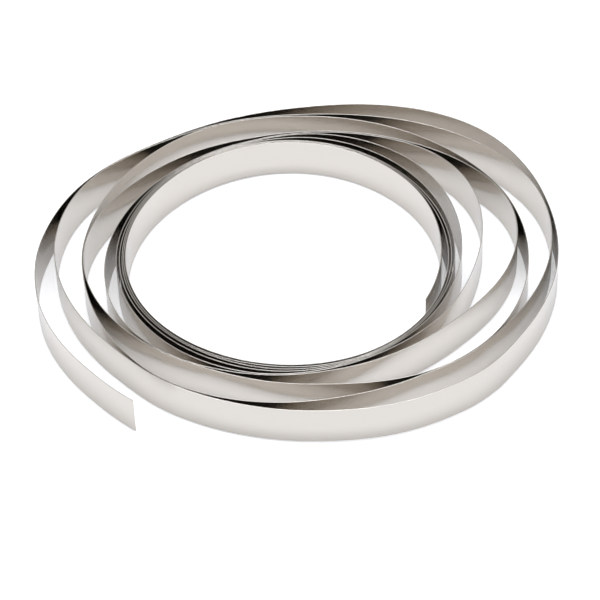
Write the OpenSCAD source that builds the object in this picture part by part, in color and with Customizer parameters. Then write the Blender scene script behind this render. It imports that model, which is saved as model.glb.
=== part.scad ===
// Loosely wound roll of nickel-plated steel strip, standing on its slit edge.
// One flat strip runs from an end inside the bore, counterclockwise and outwards,
// to a cut end that stands free. The first turns lie close together. The later ones
// have sprung apart, and touch their neighbours only here and there.
// The roll stands on Z = 0, and X = Y = 0 is the middle of its overall box.

/* [Strip] */
// Width of the strip, which is the height of the standing roll
strip_width = 8; // [4:0.5:30]
// Thickness of the strip
strip_thickness = 0.15; // [0.1:0.01:0.4]
// Least gap left between two turns that rest against each other
touching_gap = 0.05; // [0.03:0.01:0.3]

/* [Bore] */
// Mean diameter of the bore, inside the innermost turn
bore_diameter = 58; // [30:0.5:120]
// How much longer than wide the bore is, as the springy turns are never quite round
bore_oval = 2.2; // [0:0.2:6]
// Direction of the bore's long axis, counterclockwise from +X
bore_oval_direction = -30; // [-90:5:90]
// How far the bore bulges out on three sides
bore_bulge = 0.3; // [0:0.1:1]
// Direction of one of those three bulges
bore_bulge_direction = -45; // [-60:5:60]

/* [Tight turns] */
// Gap setting inside the second turn, in sixteen directions from the inner end on.
// At 0 the turns lie together, and below 0 they do so over a longer stretch
tight_gaps_1 = [0, 0, 0, 0, 0, 0, 0, 0, 0, 0, 0.2, 0.2, 0.4, 0.2, 0.4, 0.1]; // [-1:0.1:2]
// Gap setting inside the third turn, in the same sixteen directions
tight_gaps_2 = [0.1, 0.4, 0.4, 0.1, 0, 0, 0, 0, 0, 0, 0.2, 0.1, 0, 0.6, 0, 0]; // [-1:0.1:2]
// Gap setting inside the fourth turn
tight_gaps_3 = [0, 0.4, 0.6, 1.1, 1.1, 0.9, -0.2, -0.1, -0.1, 0.3, 0.3, 0.5, 0.6, 0.4, 0.1, 0]; // [-1:0.1:2]

/* [Loose turns] */
// Gap setting inside the first loose turn, in the same sixteen directions
loose_gaps_1 = [0.3, 0.8, 1.9, 2.6, 1.9, 0.7, -0.1, -0.1, 0.3, 0.4, 0.4, 0.8, 1, 0.6, 0, 0.1]; // [-1:0.1:15]
// Gap setting inside the second loose turn
loose_gaps_2 = [1.7, 2.4, 5, 5.1, 1.3, -0.1, 0, -0.1, 0.4, 1.3, 2.6, 2.6, 0.7, -0.2, 0.3, 1.4]; // [-1:0.1:15]
// Gap setting inside the third loose turn
loose_gaps_3 = [2.1, 6.9, 6.2, 0.1, 0.2, 0, 0.6, 2, 3.3, 5, 2.4, -0.2, -0.2, 1.3, 3.1, 7.2]; // [-1:0.1:15]
// Gap setting inside the fourth loose turn
loose_gaps_4 = [8.3, 2.7, -0.9, 1.1, 3.1, 4.1, 5.5, 4.4, 2, -0.6, 0.4, 3.8, 6.1, 4.8, 3.1, -0.6]; // [-1:0.1:15]
// Gap setting inside the fifth loose turn
loose_gaps_5 = [-0.4, 3.5, 6.4, 5.2, 1.7, 0.1, 0, 0.2, 5.7, 5.6, 3.5, 0, -0.1, 0.9, 3.2, 5.3]; // [-1:0.1:15]
// Gap setting inside the sixth loose turn, which is the last
loose_gaps_6 = [3.5, 1.6, -0.7, 3.9, 3.8, 1.9, 0.4, 0.1, -0.3, 2, 5.7, 6.6, 6.6, 6.5, 6.5, 6.5]; // [-1:0.1:15]

/* [Ends] */
// Direction in which the inner end lies, counterclockwise from +X
inner_end_direction = -30; // [-180:5:180]
// How far the inner end has sprung into the bore
inner_end_spring = 1.5; // [0:0.1:3]
// Angle over which the inner end comes back to its turn
inner_end_run = 70; // [20:5:180]
// Angle of the last turn at which the outer end is cut
outer_end_angle = 262; // [90:2:356]

/* [Hidden] */

full_turn = 360;
facet_angle = 4;
gap_lists = [
    tight_gaps_1, tight_gaps_2, tight_gaps_3,
    loose_gaps_1, loose_gaps_2, loose_gaps_3, loose_gaps_4, loose_gaps_5, loose_gaps_6];
directions = len(tight_gaps_1);
direction_step = full_turn / directions;
winding_angle = full_turn * len(gap_lists) + outer_end_angle;
slope_step = 0.5;
contact_ease = 0.2;

// Gap setting of one of the sixteen directions, counted on through every turn
function gap_setting(count) =
    let (turn = floor(count / directions))
    turn < 1 ? 0 : gap_lists[min(turn, len(gap_lists)) - 1][count - turn * directions];

// Smooth value between settings b and c, a fraction f of the way, with a before and d after
function smooth_value(a, b, c, d, f) =
    (a * pow(1 - f, 3)
        + b * (3 * pow(f, 3) - 6 * pow(f, 2) + 4)
        + c * (-3 * pow(f, 3) + 3 * pow(f, 2) + 3 * f + 1)
        + d * pow(f, 3)) / 6;

// Gap that grows with a value above zero, and rounds the corner where two turns meet
function eased_gap(value) =
    value > contact_ease ? value
        : value < -contact_ease ? 0 : pow(value + contact_ease, 2) / (4 * contact_ease);

// Clear gap between the strip and the turn inside it, at a winding angle
function gap_at(angle) =
    let (place = angle / direction_step)
    let (count = floor(place))
    touching_gap + eased_gap(smooth_value(
        gap_setting(count - 1), gap_setting(count),
        gap_setting(count + 1), gap_setting(count + 2), place - count));

// Radius of the bore, at a winding angle
function bore_radius(angle) =
    let (direction = inner_end_direction + angle)
    bore_diameter / 2
        + bore_oval / 4 * cos(2 * (direction - bore_oval_direction))
        + bore_bulge * cos(3 * (direction - bore_bulge_direction));

// Radius of the strip's middle plane: each turn lies on the one inside it, plus the gap
function turn_radius(angle) =
    angle < full_turn
        ? bore_radius(angle) + strip_thickness / 2
            + (strip_thickness + gap_at(angle)) * angle / full_turn
        : turn_radius(angle - full_turn) + strip_thickness + gap_at(angle);

// How far the inner end stands in from its turn
function end_spring(angle) =
    angle < inner_end_run ? inner_end_spring * (1 + cos(180 * angle / inner_end_run)) / 2 : 0;

// Point on the strip's middle plane, seen from above
function strip_point(angle) =
    let (radius = turn_radius(angle) - end_spring(angle))
    let (direction = inner_end_direction + angle)
    radius * [cos(direction), sin(direction)];

// Point on one face of the strip: side is 1 for the outer face and -1 for the inner one
function face_point(angle, side) =
    let (run = strip_point(angle + slope_step) - strip_point(angle - slope_step))
    strip_point(angle) + side * strip_thickness / 2 * [run.y, -run.x] / norm(run);

// Winding angles of the facets, which keep the same directions in every turn
winding_steps = ceil(winding_angle / facet_angle);
angles = [for (i = [0 : winding_steps]) min(i * facet_angle, winding_angle)];

outline = concat(
    [for (i = [0 : winding_steps]) face_point(angles[i], 1)],
    [for (i = [winding_steps : -1 : 0]) face_point(angles[i], -1)]);
outline_x = [for (p = outline) p.x];
outline_y = [for (p = outline) p.y];
middle = [max(outline_x) + min(outline_x), max(outline_y) + min(outline_y)] / 2;

module nickel_strip() {
    color("#cfccc6")
        translate(-middle)
            linear_extrude(height = strip_width)
                polygon(outline);
}

nickel_strip();
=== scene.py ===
"""Loosely wound roll of nickel-plated steel strip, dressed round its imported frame.

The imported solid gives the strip's route, width and thickness. A section with rounded slit
edges is swept along that route in finer steps, and gets the bright nickel finish. The roll
stands on a white floor in soft studio light.
"""

import logging
import math
from dataclasses import dataclass, field
from enum import Enum
from typing import Any

import bmesh
import bpy
from mathutils import Matrix, Vector
from mathutils.geometry import interpolate_bezier


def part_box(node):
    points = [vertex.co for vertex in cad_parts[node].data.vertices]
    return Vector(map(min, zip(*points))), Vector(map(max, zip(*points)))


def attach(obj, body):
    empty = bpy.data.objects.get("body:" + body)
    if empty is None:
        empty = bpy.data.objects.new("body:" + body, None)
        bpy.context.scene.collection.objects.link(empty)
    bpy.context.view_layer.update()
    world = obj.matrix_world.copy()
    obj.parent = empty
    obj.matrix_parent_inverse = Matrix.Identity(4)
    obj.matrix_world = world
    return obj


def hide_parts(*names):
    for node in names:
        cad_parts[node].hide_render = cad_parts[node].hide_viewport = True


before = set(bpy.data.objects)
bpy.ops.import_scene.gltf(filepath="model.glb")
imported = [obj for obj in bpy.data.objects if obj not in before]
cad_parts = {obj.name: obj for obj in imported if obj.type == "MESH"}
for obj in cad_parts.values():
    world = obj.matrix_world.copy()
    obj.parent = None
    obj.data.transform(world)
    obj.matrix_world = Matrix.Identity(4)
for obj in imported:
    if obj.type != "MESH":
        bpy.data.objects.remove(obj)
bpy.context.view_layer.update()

LOG = logging.getLogger("nickel_strip_roll")
MM = 0.001


class StripSide(Enum):
    """Which side of the strip a vertex lies on, as its place attribute says it."""

    INNER_FACE = 0.0
    OUTER_FACE = 1.0


def linear_colour(code: str) -> tuple[float, float, float, float]:
    """Turns an sRGB hex colour to the linear colour that a shader socket takes.

    Args:
        code: The colour as "#rrggbb".

    Returns:
        Linear red, green and blue, and an alpha of 1.
    """
    shares = [int(code[i : i + 2], 16) / 255 for i in (1, 3, 5)]
    red, green, blue = (
        s / 12.92 if s <= 0.04045 else ((s + 0.055) / 1.055) ** 2.4 for s in shares
    )
    return red, green, blue, 1.0


def add_node(
    tree: bpy.types.NodeTree,
    kind: str,
    settings: dict[str, Any] | None = None,
    links: dict[str | int, bpy.types.NodeSocket] | None = None,
) -> bpy.types.Node:
    """Adds a shader node with its settings and incoming links.

    Args:
        tree: The node tree that the node joins.
        kind: The node's type, such as "ShaderNodeBsdfPrincipled".
        settings: Values by name, for the node's own properties or its input sockets.
        links: Output sockets of other nodes, by the input that each one feeds.

    Returns:
        The new node.
    """
    node = tree.nodes.new(kind)
    for name, value in (settings or {}).items():
        if isinstance(name, str) and hasattr(node, name):
            setattr(node, name, value)
        else:
            node.inputs[name].default_value = value
    for name, socket in (links or {}).items():
        tree.links.new(socket, node.inputs[name])
    return node


def link_mesh(name: str, bm: bmesh.types.BMesh) -> bpy.types.Object:
    """Makes an object of a finished bmesh, at the origin, and frees the bmesh.

    Args:
        name: The object's name.
        bm: The mesh, in metres, in the row frame.

    Returns:
        The new object, linked to the scene.
    """
    mesh = bpy.data.meshes.new(name)
    bm.to_mesh(mesh)
    bm.free()
    piece = bpy.data.objects.new(name, mesh)
    bpy.context.scene.collection.objects.link(piece)
    return piece


@dataclass(frozen=True)
class BrightNickel:
    """Bright nickel plate on cold-rolled steel strip.

    Electroplated nickel is a warm light grey metal. Over a cold-rolled face it is nearly a
    mirror, with a faint haze and fine lines along the rolling direction. Where light
    bounces many times between two turns it grows darker and browner.

    Attributes:
        colour: Reflection colour of the plated faces.
        roughness: Roughness of a plated face, from the rolls' ground finish.
        line_spacing: Distance between rolling lines, across the strip. The real ones are
            about 0.02 mm apart, drawn coarser here so that they show.
        line_length: Length over which one rolling line fades.
        line_depth: Height of the rolling lines.
        wave_length: Distance between the slow waves of a coiled strip.
        wave_depth: Height of the slow waves.
        haze_range: Least and greatest roughness along the rolling lines, as shares of
            the roughness.
        side_shift: How far apart in the noise the strip's two faces lie, so that their
            patterns differ.
    """

    colour: str = "#dad4cc"
    roughness: float = 0.15
    line_spacing: float = 0.25 * MM
    line_length: float = 14 * MM
    line_depth: float = 0.0006 * MM
    wave_length: float = 16 * MM
    wave_depth: float = 0.012 * MM
    haze_range: tuple[float, float] = (0.85, 1.2)
    side_shift: float = 7.3

    def material(self) -> bpy.types.Material:
        """Builds the material.

        Returns:
            The material, whose patterns follow the strip's own place attribute.
        """
        material = bpy.data.materials.new("bright_nickel_plate")
        material.use_nodes = True
        tree = material.node_tree
        tree.nodes.clear()
        place = add_node(tree, "ShaderNodeAttribute", {"attribute_name": "strip_place"})
        lines = self._stretched_noise(tree, place, self.line_length, self.line_spacing, 3)
        waves = self._stretched_noise(tree, place, self.wave_length, self.wave_length, 2)
        wave_bump = add_node(
            tree,
            "ShaderNodeBump",
            {"Strength": 1.0, "Distance": self.wave_depth},
            {"Height": waves.outputs["Fac"]},
        )
        line_bump = add_node(
            tree,
            "ShaderNodeBump",
            {"Strength": 1.0, "Distance": self.line_depth},
            {"Height": lines.outputs["Fac"], "Normal": wave_bump.outputs["Normal"]},
        )
        least, greatest = self.haze_range
        haze = add_node(
            tree,
            "ShaderNodeMapRange",
            {
                "From Min": 0.3,
                "From Max": 0.7,
                "To Min": self.roughness * least,
                "To Max": self.roughness * greatest,
            },
            {"Value": lines.outputs["Fac"]},
        )
        metal = add_node(
            tree,
            "ShaderNodeBsdfPrincipled",
            {"Base Color": linear_colour(self.colour), "Metallic": 1.0},
            {"Roughness": haze.outputs["Result"], "Normal": line_bump.outputs["Normal"]},
        )
        add_node(tree, "ShaderNodeOutputMaterial", None, {"Surface": metal.outputs["BSDF"]})
        return material

    def _stretched_noise(
        self,
        tree: bpy.types.NodeTree,
        place: bpy.types.Node,
        length: float,
        spacing: float,
        detail: float,
    ) -> bpy.types.Node:
        """Adds noise whose grain is longer along the strip than across it.

        Args:
            tree: The material's node tree.
            place: The node that gives the place on the strip, in metres.
            length: Size of the grain along the strip.
            spacing: Size of the grain across the strip.
            detail: How many finer layers the noise has.

        Returns:
            The noise node.
        """
        scaled = add_node(
            tree,
            "ShaderNodeMapping",
            {"Scale": (1 / length, 1 / spacing, self.side_shift)},
            {"Vector": place.outputs["Vector"]},
        )
        return add_node(
            tree,
            "ShaderNodeTexNoise",
            {"Scale": 1.0, "Detail": detail},
            {"Vector": scaled.outputs["Vector"]},
        )


@dataclass
class StripRoute:
    """The strip's route through all turns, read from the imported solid.

    Attributes:
        solid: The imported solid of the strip.
        steps_per_facet: How many stations replace each flat facet of the solid.
        merge_distance: Corners of the solid's triangles closer than this are one.
        points: Places of the stations on the strip's middle plane, from the inner end.
        thickness: The strip's thickness.
    """

    solid: bpy.types.Object
    steps_per_facet: int = 2
    merge_distance: float = 0.001 * MM
    points: list[Vector] = field(default_factory=list)
    thickness: float = 0.0

    def __post_init__(self) -> None:
        """Reads the outline, halves it into its two faces and smooths their middle."""
        outline = self._outline()
        count = len(outline)
        gaps = [(outline[i - 1] - outline[i]).length for i in range(count)]
        first, second = sorted(sorted(range(count), key=gaps.__getitem__)[:2])
        self.thickness = gaps[first]
        one_face = outline[first:second]
        other_face = (outline[second:] + outline[:first])[::-1]
        middle = [(a + b) / 2 for a, b in zip(one_face, other_face, strict=True)]
        if middle[0].length > middle[-1].length:
            middle.reverse()
        self.points = self._smoothed(middle)

    def _outline(self) -> list[Vector]:
        """Walks once round the solid's lower face.

        Returns:
            The corners of the strip's outline, in order.
        """
        bm = bmesh.new()
        bm.from_mesh(self.solid.data)
        bmesh.ops.remove_doubles(bm, verts=bm.verts, dist=self.merge_distance)
        bm.normal_update()
        lower = [f for f in bm.faces if f.normal.z < -0.5]
        region = bmesh.ops.dissolve_faces(bm, faces=lower)["region"]
        outline = [loop.vert.co.copy() for loop in region[0].loops]
        bm.free()
        return outline

    def _smoothed(self, corners: list[Vector]) -> list[Vector]:
        """Lays a smooth curve through the facets' corners.

        Args:
            corners: Points on the middle plane, one for each corner of the facets.

        Returns:
            Points on the curve, evenly spaced between the corners.
        """
        last = len(corners) - 1
        slopes = [
            (corners[min(i + 1, last)] - corners[max(i - 1, 0)]).normalized()
            for i in range(last + 1)
        ]
        points = []
        for i in range(last):
            reach = (corners[i + 1] - corners[i]).length / 3
            points += interpolate_bezier(
                corners[i],
                corners[i] + slopes[i] * reach,
                corners[i + 1] - slopes[i + 1] * reach,
                corners[i + 1],
                self.steps_per_facet + 1,
            )[:-1]
        return [*points, corners[-1]]

    def placing(self, station: int) -> Matrix:
        """Gives the placing of a section at a station.

        Args:
            station: The station's number, from the inner end.

        Returns:
            The matrix that stands a section there: its x points outwards and its z up.
        """
        last = len(self.points) - 1
        ahead = self.points[min(station + 1, last)] - self.points[max(station - 1, 0)]
        run = ahead.normalized()
        up = Vector((0, 0, 1))
        turned = Matrix((run.cross(up), run, up)).transposed().to_4x4()
        return Matrix.Translation(self.points[station]) @ turned


@dataclass
class NickelStrip:
    """The one strip that the roll is wound from.

    Attributes:
        route: The strip's route through all turns.
        width: The strip's width, which is the roll's height.
        edge_radius: Rounding of the slit edges, which the rolls press over.
        edge_segments: Facets of that rounding.
        bands: Bands of faces across the strip's width.
        smooth_limit: Facets that meet at less than this angle, in degrees, look round.
        finish: The strip's plated finish.
    """

    route: StripRoute
    width: float
    edge_radius: float = 0.035 * MM
    edge_segments: int = 3
    bands: int = 4
    smooth_limit: float = 40.0
    finish: BrightNickel = BrightNickel()

    def build(self) -> bpy.types.Object:
        """Sweeps the section along the route and closes both cut ends.

        Returns:
            The finished piece, standing on the floor.
        """
        bm = bmesh.new()
        place = bm.verts.layers.float_vector.new("strip_place")
        ring = self._section(bm)
        travelled = 0.0
        before = self.route.placing(0)
        bmesh.ops.transform(bm, matrix=before, verts=bm.verts)
        self._mark(bm.verts, place, travelled, before)
        for station in range(1, len(self.route.points)):
            travelled += (self.route.points[station] - self.route.points[station - 1]).length
            now = self.route.placing(station)
            grown = bmesh.ops.extrude_edge_only(bm, edges=ring)["geom"]
            corners = [g for g in grown if isinstance(g, bmesh.types.BMVert)]
            moved = set(corners)
            ring = [
                g
                for g in grown
                if isinstance(g, bmesh.types.BMEdge) and moved.issuperset(g.verts)
            ]
            bmesh.ops.transform(bm, matrix=now @ before.inverted(), verts=corners)
            self._mark(corners, place, travelled, now)
            before = now
        bmesh.ops.contextual_create(bm, geom=ring)
        bmesh.ops.recalc_face_normals(bm, faces=bm.faces)
        self._sort(bm)
        self._shade(bm)
        return link_mesh("nickel_strip_wound", bm)

    def _section(self, bm: bmesh.types.BMesh) -> list[bmesh.types.BMEdge]:
        """Draws the strip's section, with rounded slit edges, at the origin.

        Args:
            bm: The empty mesh that takes the section's face.

        Returns:
            The edges round the section.
        """
        bmesh.ops.create_grid(bm, x_segments=1, y_segments=1, size=0.5)
        stand = Matrix.Translation((0, 0, self.width / 2)) @ Matrix.Rotation(
            math.pi / 2, 4, "X"
        )
        size = Matrix.Diagonal((self.route.thickness, self.width, 1, 1))
        bmesh.ops.transform(bm, matrix=stand @ size, verts=bm.verts)
        bmesh.ops.bevel(
            bm,
            geom=bm.verts[:],
            offset=self.edge_radius,
            affect="VERTICES",
            segments=self.edge_segments,
            profile=0.5,
            material=-1,
        )
        tall = [e for e in bm.edges if e.calc_length() > self.width / 2]
        bmesh.ops.subdivide_edges(bm, edges=tall, cuts=self.bands - 1)
        bmesh.ops.dissolve_faces(bm, faces=bm.faces[:])
        return list(bm.edges)

    def _mark(
        self,
        corners: list[bmesh.types.BMVert],
        place: Any,
        travelled: float,
        placing: Matrix,
    ) -> None:
        """Writes each vertex's place on the strip: along it, across it, and its side.

        Args:
            corners: The vertices of one section.
            place: The attribute's layer.
            travelled: Length of strip from the inner end.
            placing: The section's placing.
        """
        back = placing.inverted()
        for corner in corners:
            outwards = (back @ corner.co).x > 0
            side = StripSide.OUTER_FACE if outwards else StripSide.INNER_FACE
            corner[place] = Vector((travelled, corner.co.z, side.value))

    def _sort(self, bm: bmesh.types.BMesh) -> None:
        """Puts edges and faces in their vertices' order, which is the same in every run.

        Args:
            bm: The whole strip.
        """
        bm.verts.index_update()
        count = len(bm.verts)

        def by_vertices(part: bmesh.types.BMEdge | bmesh.types.BMFace) -> int:
            """Gives a number that follows the part's first vertex, then its last one."""
            numbers = [v.index for v in part.verts]
            return min(numbers) * count + max(numbers)

        bm.edges.sort(key=by_vertices)
        bm.faces.sort(key=by_vertices)

    def _shade(self, bm: bmesh.types.BMesh) -> None:
        """Smooths the faces, and keeps the border between a face and its slit edge crisp.

        Args:
            bm: The whole strip.
        """
        limit = math.radians(self.smooth_limit)
        for face in bm.faces:
            face.smooth = True
        for edge in bm.edges:
            if len(edge.link_faces) == 2:
                one, other = (self._on_slit_edge(face) for face in edge.link_faces)
                edge.smooth = one == other and edge.calc_face_angle() < limit

    def _on_slit_edge(self, face: bmesh.types.BMFace) -> bool:
        """Tells whether a face is part of a rounded slit edge.

        Args:
            face: A face of the strip.

        Returns:
            True if all of it lies within the rounding of the upper or lower edge.
        """
        reach = self.edge_radius * 1.01
        return all(min(v.co.z, self.width - v.co.z) < reach for v in face.verts)

    def dress(self, piece: bpy.types.Object) -> None:
        """Gives the piece its finish and its place in the frame.

        Args:
            piece: The wound strip.
        """
        piece.data.materials.append(self.finish.material())
        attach(piece, "root")
        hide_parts("nickel_strip")


def by_ray(
    tree: bpy.types.NodeTree, camera: float, mirrored: float
) -> bpy.types.NodeSocket:
    """Adds a strength that differs for rays from the camera and rays off a mirror.

    Args:
        tree: The node tree that takes the strength.
        camera: Strength for a ray from the camera.
        mirrored: Strength for a ray off gloss or through glass.

    Returns:
        A socket with that strength, which is 0 for any other ray.
    """
    path = add_node(tree, "ShaderNodeLightPath")
    off_mirror = add_node(
        tree,
        "ShaderNodeMath",
        {"operation": "MAXIMUM"},
        {0: path.outputs["Is Glossy Ray"], 1: path.outputs["Is Transmission Ray"]},
    )
    mirror_share = add_node(
        tree,
        "ShaderNodeMath",
        {"operation": "MULTIPLY", 1: mirrored},
        {0: off_mirror.outputs["Value"]},
    )
    total = add_node(
        tree,
        "ShaderNodeMath",
        {"operation": "MULTIPLY_ADD", 1: camera},
        {0: path.outputs["Is Camera Ray"], 2: mirror_share.outputs["Value"]},
    )
    return total.outputs["Value"]


@dataclass(frozen=True)
class WhiteFloor:
    """Matt white studio floor, bright enough to leave no edge.

    Attributes:
        colour: The floor's matt white.
        lift: White that the floor adds where the camera sees it, so that it leaves no
            edge and keeps only a faint shadow of the roll.
        half_width: Half the floor's width.
        drop: How far the floor lies below the roll's edges, so that a thin dark line is
            left along the foot of every turn.
    """

    colour: str = "#f4f4f4"
    lift: float = 0.3
    half_width: float = 4.0
    drop: float = 0.2 * MM

    def build(self) -> bpy.types.Object:
        """Lays the floor.

        Returns:
            The floor.
        """
        bm = bmesh.new()
        bmesh.ops.create_grid(bm, x_segments=1, y_segments=1, size=self.half_width)
        bmesh.ops.translate(bm, vec=(0, 0, -self.drop), verts=bm.verts)
        floor = link_mesh("studio_floor", bm)
        floor.data.materials.append(self.material())
        return floor

    def material(self) -> bpy.types.Material:
        """Builds the floor's material.

        Returns:
            The material.
        """
        material = bpy.data.materials.new("matt_white_floor")
        material.use_nodes = True
        tree = material.node_tree
        tree.nodes.clear()
        paint = add_node(
            tree, "ShaderNodeBsdfDiffuse", {"Color": linear_colour(self.colour)}
        )
        glow = add_node(
            tree,
            "ShaderNodeEmission",
            None,
            {"Strength": by_ray(tree, self.lift, 0.0)},
        )
        both = add_node(
            tree,
            "ShaderNodeAddShader",
            None,
            {0: paint.outputs["BSDF"], 1: glow.outputs["Emission"]},
        )
        add_node(tree, "ShaderNodeOutputMaterial", None, {"Surface": both.outputs["Shader"]})
        return material


@dataclass(frozen=True)
class Softbox:
    """An area lamp that points at the roll.

    Attributes:
        name: The lamp's name.
        azimuth: Direction that it stands in, in degrees, counterclockwise from +X.
        elevation: Height above the horizon, in degrees.
        distance: Distance from the roll.
        width: The lamp's level side.
        depth: Its other side.
        power: Its power in watts.
        colour: The colour of its light, a cool white.
    """

    name: str
    azimuth: float
    elevation: float
    distance: float
    width: float
    depth: float
    power: float
    colour: str = "#f3f7ff"

    def build(self) -> None:
        """Sets up the lamp."""
        lamp = bpy.data.lights.new(self.name, "AREA")
        lamp.shape = "RECTANGLE"
        lamp.size = self.width
        lamp.size_y = self.depth
        lamp.energy = self.power
        lamp.color = linear_colour(self.colour)[:3]
        turn, rise = math.radians(self.azimuth), math.radians(self.elevation)
        towards = Vector(
            (math.cos(turn) * math.cos(rise), math.sin(turn) * math.cos(rise), math.sin(rise))
        )
        stand = bpy.data.objects.new(self.name, lamp)
        stand.location = towards * self.distance
        stand.rotation_euler = towards.to_track_quat("Z", "Y").to_euler()
        bpy.context.scene.collection.objects.link(stand)


@dataclass(frozen=True)
class Studio:
    """Floor, surrounding light, lamps and camera.

    Attributes:
        floor: The white floor.
        lamps: The softboxes.
        surround: Strength of the even white light from all round.
        mirrored_extra: What the surround adds to that where metal mirrors it.
        aim: Point on the floor that the camera looks at.
        distance: Distance from there to the camera.
        elevation: The camera's height above the horizon, in degrees.
        roll: How far the camera leans over to its right, in degrees.
        lens: Focal length in millimetres, on a sensor 36 mm wide.
    """

    floor: WhiteFloor = WhiteFloor()
    lamps: tuple[Softbox, ...] = (
        Softbox("key_softbox", 90.0, 88.0, distance=1.6, width=1.4, depth=1.0, power=28.0),
    )
    surround: float = 0.4
    mirrored_extra: float = 0.2
    aim: tuple[float, float, float] = (0.26 * MM, -4.71 * MM, 0.0)
    distance: float = 552 * MM
    elevation: float = 45.7
    roll: float = 2.4
    lens: float = 180.0

    def build(self) -> None:
        """Sets up the floor, the light and the camera."""
        self.floor.build()
        for lamp in self.lamps:
            lamp.build()
        self._light_surround()
        self._place_camera()
        bpy.context.scene.view_settings.view_transform = "Standard"

    def _light_surround(self) -> None:
        """Lights the roll evenly from all round, with white behind it."""
        world = bpy.data.worlds.new("white_surround")
        bpy.context.scene.world = world
        world.use_nodes = True
        tree = world.node_tree
        tree.nodes.clear()
        strength = add_node(
            tree,
            "ShaderNodeMath",
            {"operation": "ADD", 1: self.surround},
            {0: by_ray(tree, 1.0 - self.surround, self.mirrored_extra)},
        )
        white = add_node(
            tree,
            "ShaderNodeBackground",
            {"Color": (1.0, 1.0, 1.0, 1.0)},
            {"Strength": strength.outputs["Value"]},
        )
        add_node(tree, "ShaderNodeOutputWorld", None, {"Surface": white.outputs["Background"]})

    def _place_camera(self) -> None:
        """Stands the camera in front of the roll, looking down at it."""
        camera = bpy.data.objects.new("camera", bpy.data.cameras.new("camera"))
        camera.data.lens = self.lens
        rise = math.radians(self.elevation)
        back = Vector((0, -math.cos(rise), math.sin(rise)))
        tilt = Matrix.Rotation(math.pi / 2 - rise, 4, "X")
        lean = Matrix.Rotation(-math.radians(self.roll), 4, "Z")
        place = Matrix.Translation(Vector(self.aim) + back * self.distance)
        camera.matrix_world = place @ tilt @ lean
        bpy.context.scene.collection.objects.link(camera)
        bpy.context.scene.camera = camera


def main() -> None:
    """Builds the roll and its studio."""
    logging.basicConfig(level=logging.INFO, format="%(name)s: %(message)s")
    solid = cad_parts["nickel_strip"]
    route = StripRoute(solid)
    LOG.info(
        "route: %d stations, strip %.3f mm thick", len(route.points), route.thickness / MM
    )
    low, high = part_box("nickel_strip")
    strip = NickelStrip(route, width=high.z - low.z)
    piece = strip.build()
    strip.dress(piece)
    LOG.info("%s: %d faces", piece.name, len(piece.data.polygons))
    Studio().build()
    LOG.info("studio: floor, lamps and camera")


if __name__ == "__main__":
    main()
